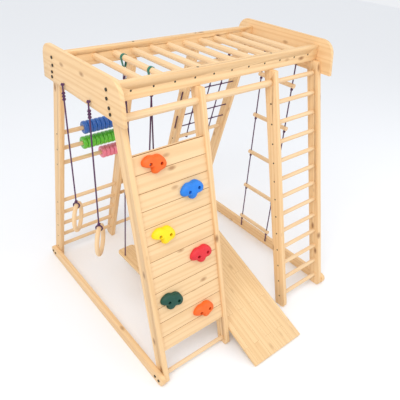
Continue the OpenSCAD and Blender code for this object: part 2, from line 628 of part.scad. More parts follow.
// ---- Net ------------------------------------------------------------------------------------------
function net_column(i) = net_left + i * wall_w / 4;
module net_row_rope() color(plum) gym_rear() {
    outside = net_right + leg_t + touch_gap + elbow_d / 2;
    for (i = [0 : net_rows - 1]) {
        across(net_left - leg_t - touch_gap - knot_r, outside, net_row(i), row_in, rope_d);
        slope() translate([net_left - leg_t - touch_gap - knot_r, row_in, net_row(i)]) sphere(r = knot_r);
        slope() translate([outside, row_in, net_row(i)]) sphere(d = elbow_d);
    }
    slope() translate([outside, row_in, net_row(0)])
        cylinder(d = rope_d, h = (net_rows - 1) * net_pitch);
}
module net_column_ropes() color(plum) gym_rear() slope() for (i = [1 : 3]) {
    translate([net_column(i), column_in, net_bottom_up - rung_d / 2 - knot_r])
        cylinder(d = rope_d, h = net_top_up - net_bottom_up + rung_d + 2 * knot_r);
    for (up = [net_bottom_up - rung_d / 2 - touch_gap - knot_r, net_top_up + rung_d / 2 + touch_gap + knot_r])
        translate([net_column(i), column_in, up]) sphere(r = knot_r);
}

// ---- Counting beads -----------------------------------------------------------------------------------
module bead_pack(row, colour) color(colour) gym_rear() for (i = [0 : beads_per_row[row] - 1]) difference() {
    x1 = beads_left + touch_gap + i * bead_pitch;
    across(x1, x1 + bead_t, bead_set[2 - row], mid_w, bead_d);
    across(x1 - 1, x1 + bead_t + 1, bead_set[2 - row], mid_w, rung_d + 1);
}
module blue_beads() bead_pack(0, "#1E5FB4");
module green_beads() bead_pack(1, "#5CC02A");
module pink_beads() bead_pack(2, "#F08098");

// ---- Fasteners ----------------------------------------------------------------------------------------
module side_bolt(x, y, z, reach) {
    translate([x - 4, y, z]) rotate([0, 90, 0]) cylinder(d = 15, h = 4 - touch_gap);
    translate([x - 4, y, z]) rotate([0, 90, 0]) cylinder(d = panel_bolt_d, h = reach);
}
module panel_bolts() color(steel) gym() for (end = [0, 180]) rotate([0, 0, end]) for (s = [-1, 1]) {
    for (z = beam_bolt_z) side_bolt(-half_len - panel_t, s * beam_mid_y, z, panel_t + 44);
    for (z = leg_bolt_z) side_bolt(-half_len - panel_t, s * leg_mid_y(z), z, 4 + panel_t + leg_bolt_bite);
}
module rail_bolts() color(steel) gym() for (end = [0, 180]) rotate([0, 0, end]) for (s = [-1, 1])
    for (dy = [-rail_bolt_half, rail_bolt_half])
        side_bolt(-half_len - rail_t, s * (leg_mid_y(rail_bolt_z) + dy), rail_bolt_z, 4 + rail_t + leg_bolt_bite);
module beam_screw(x) translate([x, beam_mid_y, 0]) {
    translate([0, 0, leg_top - 40]) cylinder(d = beam_screw_d, h = beam_h + 40 - head_t);
    translate([0, 0, frame_h - head_t]) cylinder(d = 13, h = head_t);
}
module beam_screws() color(steel) {
    gym() for (x = front_inner) beam_screw(x);
    gym_rear() for (x = rear_inner) beam_screw(x);
}
// A screw through a leg at x into a dowel; side = 1 points along +x
module rung_screw(x, side, up) {
    across(side > 0 ? x : x - head_t, side > 0 ? x + head_t : x, up, mid_w, head_d);
    reach = leg_t - socket_depth + screw_bite - 2;
    across(side > 0 ? x : x - reach, side > 0 ? x + reach : x, up, mid_w, screw_d);
}
module rung_screws() color(steel) {
    gym() {
        for (up = front_set) rung_screw(half_len, -1, up);
        for (up = screwed(front_set, [bar_up])) rung_screw(ladder_left - leg_t, 1, up);
        rung_screw(-half_len, 1, foot_bar_up);
        rung_screw(wall_right + leg_t, -1, foot_bar_up);
        for (i = [0 : bar_count - 1]) for (s = [-1, 1]) translate([first_bar + i * bar_pitch, 0, bar_z])
            rotate([s * 90, 0, 0]) {
                translate([0, 0, top_depth / 2 - head_t]) cylinder(d = head_d, h = head_t);
                translate([0, 0, bar_len / 2 - screw_bite + 2])
                    cylinder(d = screw_d, h = top_depth / 2 - bar_len / 2 + screw_bite - 2);
            }
    }
    gym_rear() {
        for (up = concat(rear_set, bead_set)) rung_screw(half_len, -1, up);
        for (up = screwed(concat(rear_set, bead_set), rear_bars)) rung_screw(beads_left - leg_t, 1, up);
        for (up = [net_bottom_up, net_top_up]) {
            rung_screw(-half_len, 1, up);
            rung_screw(net_right + leg_t, -1, up);
        }
    }
}

left_end_panel();
right_end_panel();
front_beam();
rear_beam();
monkey_bars();
wall_left_leg();
wall_right_leg();
wall_boards();
wall_battens();
wall_foot_bar();
upper_orange_hold();
blue_hold();
yellow_hold();
red_hold();
green_hold();
lower_orange_hold();
hold_bolts();
hold_tee_nuts();
front_long_bar();
front_ladder_inner_leg();
front_ladder_outer_leg();
front_ladder_rungs();
rear_ladder_outer_leg();
rear_ladder_inner_leg();
rear_ladder_rungs();
bead_rungs();
rear_upper_bar();
rear_middle_bar();
rear_lower_bar();
net_inner_leg();
net_outer_leg();
net_crossbars();
net_row_rope();
net_column_ropes();
left_base_rail();
right_base_rail();
slide_board();
slide_hooks();
swing_seat();
swing_front_rope();
swing_rear_rope();
swing_straps();
swing_links();
front_gym_ring();
rear_gym_ring();
front_ring_rope();
rear_ring_rope();
ring_rope_anchors();
rope_ladder_rungs();
rope_ladder_front_rope();
rope_ladder_rear_rope();
blue_beads();
green_beads();
pink_beads();
panel_bolts();
beam_screws();
rung_screws();
rail_bolts();
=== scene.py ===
"""Looks for a wooden play gym: lacquered pine frame, beech rungs, laid rope, resin climbing holds."""

import logging
import math
from dataclasses import dataclass, field
from enum import Enum

import bmesh
import bpy
import numpy as np
from mathutils import Matrix, Vector


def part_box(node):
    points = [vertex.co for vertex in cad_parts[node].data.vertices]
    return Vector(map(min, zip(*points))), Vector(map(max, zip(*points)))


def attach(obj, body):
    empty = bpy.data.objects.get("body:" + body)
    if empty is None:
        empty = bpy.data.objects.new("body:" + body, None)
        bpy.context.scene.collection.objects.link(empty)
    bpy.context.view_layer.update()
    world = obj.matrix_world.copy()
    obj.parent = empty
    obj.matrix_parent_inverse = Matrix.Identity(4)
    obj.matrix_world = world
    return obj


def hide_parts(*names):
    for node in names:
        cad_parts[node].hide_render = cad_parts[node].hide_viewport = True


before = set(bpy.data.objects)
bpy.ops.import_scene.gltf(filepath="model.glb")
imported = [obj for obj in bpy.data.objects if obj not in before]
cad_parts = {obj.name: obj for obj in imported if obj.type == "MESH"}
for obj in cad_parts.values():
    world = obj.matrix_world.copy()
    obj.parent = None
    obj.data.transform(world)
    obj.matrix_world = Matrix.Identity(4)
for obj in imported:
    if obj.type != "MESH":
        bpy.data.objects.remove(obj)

LOG = logging.getLogger("play_gym")
MM = 0.001
# The rest gap between pieces that lie on each other
TOUCH_GAP = 0.0003
ACROSS = np.array([1.0, 0.0, 0.0])
INWARD = np.array([0.0, 1.0, 0.0])
UP = np.array([0.0, 0.0, 1.0])
Tree = bpy.types.NodeTree
Socket = bpy.types.NodeSocket


# ---- Surfaces worked out on grids --------------------------------------------------
@dataclass
class Patch:
    """A surface on a grid of rows along it and columns round it."""

    points: np.ndarray
    closed_rows: bool = False
    closed_columns: bool = True

    def cells(self) -> tuple[np.ndarray, ...]:
        """The row and the column at which each face starts."""
        rows, columns = self.points.shape[:2]
        return tuple(np.meshgrid(
            np.arange(rows if self.closed_rows else rows - 1),
            np.arange(columns if self.closed_columns else columns - 1), indexing="ij"))

    def quads(self) -> np.ndarray:
        """Each face joins four neighbours of the grid.

        Returns:
            Whole numbers, one row of four corners for each face.
        """
        rows, columns = self.points.shape[:2]
        row, column = self.cells()
        ahead, beside = (row + 1) % rows, (column + 1) % columns
        corners = [row * columns + column, row * columns + beside,
                   ahead * columns + beside, ahead * columns + column]
        return np.stack(corners, axis=-1).reshape(-1, 4)

    def caps(self) -> list[list[int]]:
        """The end faces of an open tube, or none.

        Returns:
            Lists of corners.
        """
        rows, columns = self.points.shape[:2]
        if self.closed_rows or not self.closed_columns:
            return []
        last = (rows - 1) * columns
        return [list(range(columns))[::-1], list(range(last, last + columns))]

    def unwrapped(self) -> np.ndarray:
        """UV in metres: u is the way round the mean section and v the way along the middle line.

        Returns:
            A pair of numbers for each corner of each face, and then of each cap.
        """
        columns = self.points.shape[1]
        middle = self.points.mean(axis=1)
        along = np.linalg.norm(np.diff(middle, axis=0, append=middle[:1]), axis=1)
        reach = np.concatenate([[0.0], np.cumsum(along)])
        girth = np.linalg.norm(self.points - np.roll(self.points, 1, axis=1), axis=2).sum(axis=1).mean()
        row, column = self.cells()
        u = np.stack([column, column + 1, column + 1, column], axis=-1) * girth / columns
        v = reach[np.stack([row, row, row + 1, row + 1], axis=-1)]
        sides = np.stack([u, v], axis=-1).reshape(-1, 2)
        return np.concatenate([sides, np.zeros((len(self.caps()) * columns, 2))])


def shade(mesh: bpy.types.Mesh, sharp_degrees: float = 35.0) -> None:
    """Smooths a mesh except over edges sharper than an angle.

    Args:
        mesh: The mesh to shade.
        sharp_degrees: Edges that turn more than this stay crisp.
    """
    mesh.shade_smooth()
    mesh.set_sharp_from_angle(angle=math.radians(sharp_degrees))


def piece(name: str, patches: list[Patch]) -> bpy.types.Object:
    """Joins patches in one object at the origin, with its faces turned outwards.

    Args:
        name: The object's name.
        patches: The surfaces to join.

    Returns:
        The new object.
    """
    points, faces, pairs, start = [], [], [], 0
    for patch in patches:
        points.append(patch.points.reshape(-1, 3))
        faces += (patch.quads() + start).tolist()
        faces += [[corner + start for corner in cap] for cap in patch.caps()]
        pairs.append(patch.unwrapped())
        start += len(points[-1])
    mesh = bpy.data.meshes.new(name)
    mesh.from_pydata(np.concatenate(points).tolist(), [], faces)
    mesh.uv_layers.new(name="UVMap").data.foreach_set("uv", np.concatenate(pairs).ravel())
    work = bmesh.new()
    work.from_mesh(mesh)
    bmesh.ops.recalc_face_normals(work, faces=work.faces)
    work.to_mesh(mesh)
    work.free()
    shade(mesh)
    made = bpy.data.objects.new(name, mesh)
    bpy.context.scene.collection.objects.link(made)
    return made


def carried(path: np.ndarray, section: np.ndarray, normal: np.ndarray, closed: bool = False) -> Patch:
    """Carries a section along a path: side is path direction times normal, lift is side times direction.

    Args:
        path: Points along the middle line.
        section: Side and lift offsets, for the whole path or for each of its points.
        normal: A direction that the path never runs along.
        closed: True when the path joins its own start.

    Returns:
        The surface.
    """
    if closed:
        ahead = np.roll(path, -1, axis=0) - np.roll(path, 1, axis=0)
    else:
        ahead = np.gradient(path, axis=0)
    side = np.cross(ahead, normal)
    side /= np.linalg.norm(side, axis=1, keepdims=True)
    lift = np.cross(side, ahead)
    lift /= np.linalg.norm(lift, axis=1, keepdims=True)
    section = np.broadcast_to(section, (len(path), *section.shape[-2:]))
    points = path[:, None] + section[..., :1] * side[:, None] + section[..., 1:] * lift[:, None]
    return Patch(points, closed_rows=closed)


def angles(count: int) -> np.ndarray:
    """Equal angles once round, without the last one that meets the first."""
    return np.linspace(0.0, 2 * math.pi, count, endpoint=False)


def oblong(turn: np.ndarray, halves: tuple[float, float], powers: tuple[float, float]) -> np.ndarray:
    """A rounded rectangle: half sides times cosine and sine, each to its own power with its sign kept.

    Args:
        turn: Angles round it.
        halves: Half of each side in metres.
        powers: The lower they are, the squarer the corners.

    Returns:
        Pairs of offsets.
    """
    way = np.stack([np.cos(turn), np.sin(turn)], axis=-1)
    return np.array(halves) * np.sign(way) * abs(way) ** np.array(powers)


def circle(radius: float, sides: int) -> np.ndarray:
    """A round section: radius times the cosine and sine of equal angles."""
    return radius * np.stack([np.cos(angles(sides)), np.sin(angles(sides))], axis=-1)


def loop(centre: np.ndarray, across: np.ndarray, radius: float, count: int) -> np.ndarray:
    """A circle standing upright: centre plus radius times (cosine across, sine up).

    Args:
        centre: Its middle.
        across: The level direction that it stands along.
        radius: Its radius in metres.
        count: How many points it has.

    Returns:
        The points.
    """
    turn = angles(count)[:, None]
    return centre + radius * (np.cos(turn) * across + np.sin(turn) * UP)


def route(corners: np.ndarray, step: float = 0.003, soft: int = 5) -> np.ndarray:
    """Even steps along a line through corners, each the mean of its neighbours so that corners are round.

    Args:
        corners: The points that the line passes near.
        step: The distance between points in metres.
        soft: How many points each mean takes in, an odd number.

    Returns:
        The points, with the two ends kept.
    """
    corners = np.asarray(corners, dtype=float)
    reach = np.concatenate([[0.0], np.cumsum(np.linalg.norm(np.diff(corners, axis=0), axis=1))])
    places = np.linspace(0.0, reach[-1], max(soft + 1, int(reach[-1] / step)))
    line = np.stack([np.interp(places, reach, corners[:, axis]) for axis in range(3)], axis=-1)
    half = soft // 2
    before = 2 * line[:1] - line[1:half + 1][::-1]
    after = 2 * line[-1:] - line[-half - 1:-1][::-1]
    padded = np.concatenate([before, line, after])
    kernel = np.ones(soft) / soft
    return np.stack([np.convolve(padded[:, axis], kernel, mode="valid") for axis in range(3)], axis=-1)


def eased(node: str, edge: float, shortest: float = 2.8 * MM) -> bpy.types.Object:
    """A copy of a CAD node with its long edges rounded, as a maker's router leaves them.

    Args:
        node: The CAD node.
        edge: The width of the rounding in metres.
        shortest: Edges shorter than this, such as the rims of bores, stay crisp.

    Returns:
        The copy, which replaces the node.
    """
    same_place, flat_turn, edge_turn = 1e-5, math.radians(0.5), math.radians(30)
    work = bmesh.new()
    work.from_mesh(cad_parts[node].data)
    bmesh.ops.remove_doubles(work, verts=work.verts, dist=same_place)
    bmesh.ops.dissolve_limit(work, angle_limit=flat_turn, verts=work.verts, edges=work.edges)
    crisp = [e for e in work.edges if len(e.link_faces) == 2 and e.calc_length() > shortest
             and e.calc_face_angle(0.0) > edge_turn]
    bmesh.ops.bevel(work, geom=crisp, offset=edge, offset_type="OFFSET", segments=2, profile=0.5,
                    affect="EDGES", clamp_overlap=False)
    mesh = bpy.data.meshes.new(node + "_eased")
    work.to_mesh(mesh)
    work.free()
    shade(mesh)
    made = bpy.data.objects.new(node + "_eased", mesh)
    bpy.context.scene.collection.objects.link(made)
    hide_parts(node)
    return made


# ---- Finishes -----------------------------------------------------------------------
def linear(colour: str) -> tuple[float, float, float, float]:
    """Turns an sRGB hex colour to linear light.

    Args:
        colour: Such as "#F0C896".

    Returns:
        Red, green, blue and an alpha of 1.
    """
    parts = np.array([int(colour[i:i + 2], 16) for i in (1, 3, 5)]) / 255
    light = np.where(parts <= 0.04045, parts / 12.92, ((parts + 0.055) / 1.055) ** 2.4)
    return (*light.tolist(), 1.0)


def add(tree: Tree, kind: str, settings: dict | None = None, links: dict | None = None) -> bpy.types.Node:
    """Adds a node with its settings and links.

    Args:
        tree: The node tree.
        kind: The node's type name.
        settings: Input defaults by socket name or number, or properties of the node.
        links: Output sockets by the input's name or number.

    Returns:
        The node.
    """
    node = tree.nodes.new(kind)
    for key, value in (settings or {}).items():
        if isinstance(key, str) and hasattr(node, key):
            setattr(node, key, value)
        else:
            node.inputs[key].default_value = value
    for key, socket in (links or {}).items():
        tree.links.new(socket, node.inputs[key])
    return node


def noise(tree: Tree, where: Socket, scale: float, detail: float = 2.0,
          roughness: float = 0.5) -> Socket:
    """Soft noise from 0 to 1 over a coordinate."""
    settings = {"Scale": scale, "Detail": detail, "Roughness": roughness}
    return add(tree, "ShaderNodeTexNoise", settings, {"Vector": where}).outputs[0]


def stretched(tree: Tree, where: Socket, scale: tuple[float, float, float]) -> Socket:
    """A coordinate times a scale along each direction."""
    return add(tree, "ShaderNodeMapping", {"Scale": scale}, {"Vector": where}).outputs[0]


def ranged(tree: Tree, value: Socket, source: tuple[float, float],
           target: tuple[float, float]) -> Socket:
    """Maps a value evenly from one range to another, and holds it at the ends."""
    limits = dict(zip(("From Min", "From Max", "To Min", "To Max"), (*source, *target)))
    return add(tree, "ShaderNodeMapRange", limits, {"Value": value}).outputs[0]


def mixed(tree: Tree, share: Socket, first: Socket | str, second: str) -> Socket:
    """Blends two colours.

    Args:
        tree: The node tree.
        share: How much of the second colour shows, from 0 to 1.
        first: A colour's socket, or an sRGB hex colour.
        second: An sRGB hex colour.

    Returns:
        The blend's socket.
    """
    settings, links = {"data_type": "RGBA", 7: linear(second)}, {0: share}
    if isinstance(first, str):
        settings[6] = linear(first)
    else:
        links[6] = first
    return add(tree, "ShaderNodeMix", settings, links).outputs[2]


def finish(tree: Tree, shader: bpy.types.Node, links: dict[str, Socket], height: Socket | None = None,
           strength: float = 1.0, distance_mm: float = 1.0) -> None:
    """Links a shader's inputs, and bumps its surface by a height where there is one."""
    if height is not None:
        settings = {"Strength": strength, "Distance": distance_mm * MM}
        links["Normal"] = add(tree, "ShaderNodeBump", settings, {"Height": height}).outputs[0]
    for name, socket in links.items():
        tree.links.new(socket, shader.inputs[name])


def blank(name: str, settings: dict | None = None
          ) -> tuple[bpy.types.Material, Tree, bpy.types.Node]:
    """A new material with only a shader and an output.

    Args:
        name: The material's name.
        settings: The shader's plain inputs by name.

    Returns:
        The material, its tree and its Principled shader.
    """
    material = bpy.data.materials.new(name)
    material.use_nodes = True
    tree = material.node_tree
    tree.nodes.clear()
    shader = add(tree, "ShaderNodeBsdfPrincipled", settings)
    add(tree, "ShaderNodeOutputMaterial", links={"Surface": shader.outputs["BSDF"]})
    return material, tree, shader


@dataclass(frozen=True)
class Grain:
    """Which way the wood's fibres run, and where its pattern starts."""

    name: str
    along: tuple[float, float, float]
    across: tuple[float, float, float]
    origin: tuple[float, float, float] = (0.0, 0.0, 0.0)
    on_uv: bool = False

    def turn(self) -> tuple[float, float, float]:
        """The pattern's turn, from its fibre and cross directions, as three angles."""
        along, across = Vector(self.along).normalized(), Vector(self.across).normalized()
        out = along.cross(across)
        return tuple(Matrix((along, out.cross(along), out)).transposed().to_euler())


@dataclass(frozen=True)
class Wood:
    """Planed and sanded wood under a thin clear lacquer."""

    name: str
    light: str
    deep: str
    ring: str
    knot: str
    ring_mm: float
    knotty: float
    stave_mm: tuple[float, float] | None = None
    joint_mm: float = 0.0

    def staved(self, tree: Tree, where: Socket) -> tuple[Socket, Socket]:
        """Moves the pattern apart from stave to stave, so that each has its own tone and growth lines.

        Args:
            tree: The node tree.
            where: The coordinate in millimetres along the fibres.

        Returns:
            The new coordinate, and a value that is 1 in the joints.
        """
        staves = add(tree, "ShaderNodeTexBrick", {
            "Scale": 1.0, "Brick Width": self.stave_mm[0], "Row Height": self.stave_mm[1],
            "Mortar Size": self.joint_mm, "Color1": (0, 0, 0, 1), "Color2": (1, 1, 1, 1)},
            {"Vector": where})
        apart = add(tree, "ShaderNodeVectorMath", {"operation": "SCALE", "Scale": 700.0},
                    {0: staves.outputs["Color"]})
        moved = add(tree, "ShaderNodeVectorMath", {"operation": "ADD"}, {0: where, 1: apart.outputs[0]})
        return moved.outputs[0], staves.outputs["Fac"]

    def material(self, grain: Grain) -> bpy.types.Material:
        """Builds the wood with its growth lines, fibres and knots along one direction.

        Args:
            grain: The direction of the fibres.

        Returns:
            The material, made once for each direction.
        """
        title = f"{self.name}_{grain.name}"
        if title in bpy.data.materials:
            return bpy.data.materials[title]
        material, tree, shader = blank(title, {"IOR": 1.5})
        coordinate = add(tree, "ShaderNodeTexCoord").outputs["UV" if grain.on_uv else "Object"]
        where = add(tree, "ShaderNodeMapping", {
            "vector_type": "TEXTURE", "Rotation": grain.turn(), "Scale": (MM, MM, MM),
            "Location": grain.origin}, {"Vector": coordinate}).outputs["Vector"]
        joint = None
        if self.stave_mm:
            where, joint = self.staved(tree, where)
        # Slow drift of tone, about 60 mm across and 600 mm along
        tone = noise(tree, stretched(tree, where, (1 / 600, 1 / 60, 1 / 60)), 1.0, 3.0)
        colour = mixed(tree, tone, self.light, self.deep)
        # Growth lines, about twice ring_mm apart and bent, drawn out 45 times along the fibres
        drawn = stretched(tree, where, (1 / (self.ring_mm * 45), 1 / self.ring_mm, 1 / self.ring_mm))
        rings = add(tree, "ShaderNodeTexWave", {
            "bands_direction": "DIAGONAL", "Scale": 0.3, "Distortion": 16.0, "Detail": 2.0,
            "Detail Scale": 0.35}, {"Vector": drawn})
        colour = mixed(tree, ranged(tree, rings.outputs["Fac"], (0.4, 1.0), (0.0, 0.3)), colour, self.ring)
        # Fibres, drawn about 2 mm wide, coarser than the real ones so that they show
        fibre = noise(tree, stretched(tree, where, (1 / 70, 1 / 2, 1 / 2)), 1.0, 4.0, 0.6)
        colour = mixed(tree, ranged(tree, fibre, (0.5, 0.8), (0.0, 0.3)), colour, self.ring)
        if self.knotty > 0:
            # Knots, dark over about 9 mm across the fibres and faded out at about 29 mm
            spread = stretched(tree, where, (1 / 190, 1 / 90, 1 / 90))
            spots = add(tree, "ShaderNodeTexVoronoi", {"Scale": 1.0}, {"Vector": spread})
            near = ranged(tree, spots.outputs["Distance"], (0.05, 0.16), (self.knotty, 0.0))
            colour = mixed(tree, near, colour, self.knot)
        if joint is not None:
            colour = mixed(tree, joint, colour, self.knot)
        rough = ranged(tree, fibre, (0.0, 1.0), (0.42, 0.58))
        finish(tree, shader, {"Base Color": colour, "Roughness": rough}, fibre, 0.25, 0.3)
        return material


# Scots pine: warm straw colour with broad, soft growth lines and brown knots
PINE = Wood("lacquered_pine", "#F4D1A2", "#E8BF88", "#D09C62", "#8A5426", 13.0, 0.85)
# Tongued pine boards: paler, each with its own tone and a dark line where it meets the next
BOARDS = Wood("tongued_pine_boards", "#F4D2A4", "#EBC592", "#D5A66E", "#94602E", 17.0, 0.7,
              (2000.0, 88.0), 1.3)
# Edge-glued pine: narrow staves with thin dark glue lines
GLUED = Wood("edge_glued_pine", "#F3D3A2", "#E6BE88", "#D0A068", "#B07C48", 12.0, 0.4, (420.0, 46.0), 0.3)
# Beech dowel: pale and even, with fine close lines and no knots
BEECH = Wood("turned_beech", "#F3D6AC", "#E8C597", "#D6AA78", "#B58452", 6.0, 0.0)


@dataclass(frozen=True)
class Resin:
    """Cast polyester resin for climbing: strong colour, gritty and almost matt."""

    name: str
    colour: str
    shadow: str
    grit_mm: float = 2.2

    def material(self) -> bpy.types.Material:
        """Builds the resin with its cast-in grit, drawn coarser than real sand so that it shows."""
        material, tree, shader = blank(self.name)
        where = add(tree, "ShaderNodeTexCoord").outputs["Object"]
        grit = noise(tree, where, 1 / (self.grit_mm * MM), 3.0)
        cloud = ranged(tree, noise(tree, where, 30.0), (0.4, 0.8), (0.0, 0.45))
        colour = mixed(tree, cloud, self.colour, self.shadow)
        rough = ranged(tree, grit, (0.0, 1.0), (0.45, 0.7))
        finish(tree, shader, {"Base Color": colour, "Roughness": rough}, grit, 0.5, 0.6)
        return material


# Pigmented polyester: each colour with the deeper tone that it clouds to
RESINS = {colour: Resin(f"{colour}_polyester_resin", plain, shadow) for colour, plain, shadow in (
    ("orange", "#F26A1E", "#D9530F"), ("blue", "#1F7FE0", "#1563B8"), ("yellow", "#FFDD10", "#EFC400"),
    ("red", "#E02A35", "#BE1824"), ("green", "#0B4A3A", "#07382C"))}


@dataclass(frozen=True)
class Enamel:
    """Water-based gloss enamel brushed on turned beech."""

    name: str
    colour: str
    thin: str

    def material(self) -> bpy.types.Material:
        """Builds the paint: glossy, thinner in places, with the wood's lines faintly raised under it."""
        material, tree, shader = blank(self.name, {"Roughness": 0.28, "Coat Weight": 0.35})
        where = add(tree, "ShaderNodeTexCoord").outputs["Object"]
        worn = ranged(tree, noise(tree, where, 45.0, 3.0), (0.5, 0.85), (0.0, 0.5))
        lines = noise(tree, stretched(tree, where, (60.0, 500.0, 500.0)), 1.0)
        finish(tree, shader, {"Base Color": mixed(tree, worn, self.colour, self.thin)}, lines, 0.2, 0.2)
        return material


@dataclass(frozen=True)
class Steel:
    """Plated mild steel."""

    name: str
    colour: str
    roughness: float

    def material(self) -> bpy.types.Material:
        """Builds the metal with a faint mottle from its plating."""
        material, tree, shader = blank(self.name, {"Base Color": linear(self.colour), "Metallic": 1.0})
        where = add(tree, "ShaderNodeTexCoord").outputs["Object"]
        rough = ranged(tree, noise(tree, where, 300.0, 3.0), (0.0, 1.0),
                       (self.roughness - 0.08, self.roughness + 0.12))
        finish(tree, shader, {"Roughness": rough})
        return material


@dataclass(frozen=True)
class Thread:
    """Spun or woven polypropylene, on the piece's own UV in metres."""

    name: str
    colour: str
    # deep is the colour of the valleys between yarns: painted shade
    deep: str
    pitch_mm: float
    slant: float

    def material(self) -> bpy.types.Material:
        """Builds the yarns as slanting lines one pitch apart, with painted shade in the valleys between
        them, loose fibres and a soft sheen.
        """
        material, tree, shader = blank(self.name, {"Roughness": 0.75, "Sheen Weight": 0.2})
        where = add(tree, "ShaderNodeTexCoord").outputs["UV"]
        place = add(tree, "ShaderNodeMapping", {
            "vector_type": "TEXTURE", "Rotation": (0, 0, self.slant),
            "Scale": (self.pitch_mm * MM,) * 3}, {"Vector": where}).outputs[0]
        yarn = add(tree, "ShaderNodeTexWave", {"Scale": 0.314, "Distortion": 0.6, "Detail": 1.0},
                   {"Vector": place}).outputs["Fac"]
        fuzz = add(tree, "ShaderNodeMath", {"operation": "MULTIPLY"},
                   {0: yarn, 1: noise(tree, place, 1.6, 3.0)})
        # Painted shade: the valleys between yarns take the deep colour
        colour = mixed(tree, yarn, self.deep, self.colour)
        finish(tree, shader, {"Base Color": colour}, fuzz.outputs[0], 0.6, 0.4)
        return material


# ---- The gym's own frame of sizes ----------------------------------------------------
@dataclass
class Gym:
    """Sizes that every sub-assembly shares, in metres. Only the middle is measured from the CAD."""

    half_foot: float = 0.690
    lean: float = math.atan(377 / 1438)
    half_len: float = 0.660
    leg_t: float = 0.028
    leg_w: float = 0.075
    panel_t: float = 0.020
    wall_w: float = 0.408
    board_recess: float = 0.012
    board_start: float = 0.205
    slide_tilt: float = math.radians(21.03)
    bar_z: float = 1.479
    rope_d: float = 0.008
    knot_r: float = 0.0096
    middle: np.ndarray = field(init=False)

    def __post_init__(self) -> None:
        """Finds the middle of the frame from the two beams."""
        front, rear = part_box("front_beam"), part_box("rear_beam")
        self.middle = np.array([(front[0][0] + front[1][0]) / 2, (front[0][1] + rear[1][1]) / 2, 0.0])

    @property
    def knot_off(self) -> float:
        """How far a knot's middle lies from the face that the knot rests on."""
        return self.knot_r + TOUCH_GAP

    def at(self, x: float, y: float, z: float) -> np.ndarray:
        """A point given from the middle of the frame."""
        return self.middle + np.array([x, y, z])

    def slope(self, points: np.ndarray, rear: bool = False) -> np.ndarray:
        """Turns slope sizes to places: y is up times sin lean plus in times cos lean, less half the foot.

        Args:
            points: Across, inward and up the slope, in metres.
            rear: True for the rear side, which is the front side turned half round.

        Returns:
            The places.
        """
        points = np.asarray(points, dtype=float)
        across, inward, up = points[..., 0], points[..., 1], points[..., 2]
        sine, cosine = math.sin(self.lean), math.cos(self.lean)
        turned = np.stack([across, -self.half_foot + up * sine + inward * cosine,
                           up * cosine - inward * sine], axis=-1)
        return self.middle + turned * (np.array([-1.0, -1.0, 1.0]) if rear else 1.0)

    def grains(self) -> dict[str, Grain]:
        """The fibre directions in this frame, by name."""
        sine, cosine = math.sin(self.lean), math.cos(self.lean)
        # The boards' pattern starts half a metre to their left, so that no end joint shows
        start = self.slope([-self.half_len + self.leg_t - 0.5, self.board_recess, self.board_start])
        return {grain.name: grain for grain in (
            Grain("length", (1, 0, 0), (0, 0, 1)),
            Grain("depth", (0, 1, 0), (0, 0, 1)),
            Grain("front_leg", (0, sine, cosine), (1, 0, 0)),
            Grain("rear_leg", (0, -sine, cosine), (1, 0, 0)),
            Grain("slide", (0, math.cos(self.slide_tilt), math.sin(self.slide_tilt)), (1, 0, 0)),
            Grain("seat", (0, 1, 0), (1, 0, 0)),
            Grain("wall", (1, 0, 0), (0, sine, cosine), tuple(start)),
            Grain("ring", (0, 1, 0), (-1, 0, 0), on_uv=True))}


def dressed(made: bpy.types.Object, body: str, slot: str, material: bpy.types.Material,
            nodes: tuple[str, ...] = ()) -> bpy.types.Object:
    """Gives a piece its material and its body, and hides the CAD nodes that it stands for.

    Args:
        made: The piece.
        body: The body that it moves with.
        slot: The slot that names its finish; not used.
        material: Its material.
        nodes: The CAD nodes that it replaces.

    Returns:
        The same piece.
    """
    made.data.materials.clear()
    made.data.materials.append(material)
    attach(made, body)
    if nodes:
        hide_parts(*nodes)
    LOG.info("%s rides on %s, %d faces", made.name, body, len(made.data.polygons))
    return made


class Ease(Enum):
    """How far the maker rounds an edge, in metres."""

    BOARD = 0.0025
    SEAT = 0.004
    SMALL = 0.0015


@dataclass
class Carcass:
    """All the sawn and turned wood: legs, beams, panels, rails, boards, bars and rungs."""

    gym: Gym

    def rounded(self) -> None:
        """Rounds what the router rounds, with its body, wood and grain."""
        grains = self.gym.grains()
        for body, slot, wood, grain, ease, nodes in (
                ("frame", "pine", PINE, "depth", Ease.BOARD, ("left_end_panel", "right_end_panel")),
                ("frame", "pine", PINE, "length", Ease.BOARD, ("front_beam", "rear_beam")),
                ("frame", "pine", PINE, "front_leg", Ease.BOARD, (
                    "wall_left_leg", "wall_right_leg", "front_ladder_inner_leg", "front_ladder_outer_leg")),
                ("frame", "pine", PINE, "rear_leg", Ease.BOARD, (
                    "rear_ladder_outer_leg", "rear_ladder_inner_leg", "net_inner_leg", "net_outer_leg")),
                ("frame", "pine", PINE, "depth", Ease.BOARD, ("left_base_rail", "right_base_rail")),
                ("slide", "pine", PINE, "slide", Ease.SMALL, ("slide_hooks",)),
                ("slide", "pine_board", GLUED, "slide", Ease.BOARD, ("slide_board",)),
                ("swing", "pine_board", GLUED, "seat", Ease.SEAT, ("swing_seat",))):
            for node in nodes:
                dressed(eased(node, ease.value), body, slot, wood.material(grains[grain]))

    def kept(self) -> None:
        """Gives wood to the nodes that keep their CAD shape."""
        grains = self.gym.grains()
        for wood, grain, nodes in (
                (PINE, "front_leg", ("wall_battens",)),
                (BOARDS, "wall", ("wall_boards",)),
                (BEECH, "depth", ("monkey_bars", "rope_ladder_rungs")),
                (BEECH, "length", (
                    "wall_foot_bar", "front_long_bar", "front_ladder_rungs", "rear_ladder_rungs",
                    "bead_rungs", "rear_upper_bar", "rear_middle_bar", "rear_lower_bar",
                    "net_crossbars"))):
            for node in nodes:
                dress_node(node, wood.material(grains[grain]))


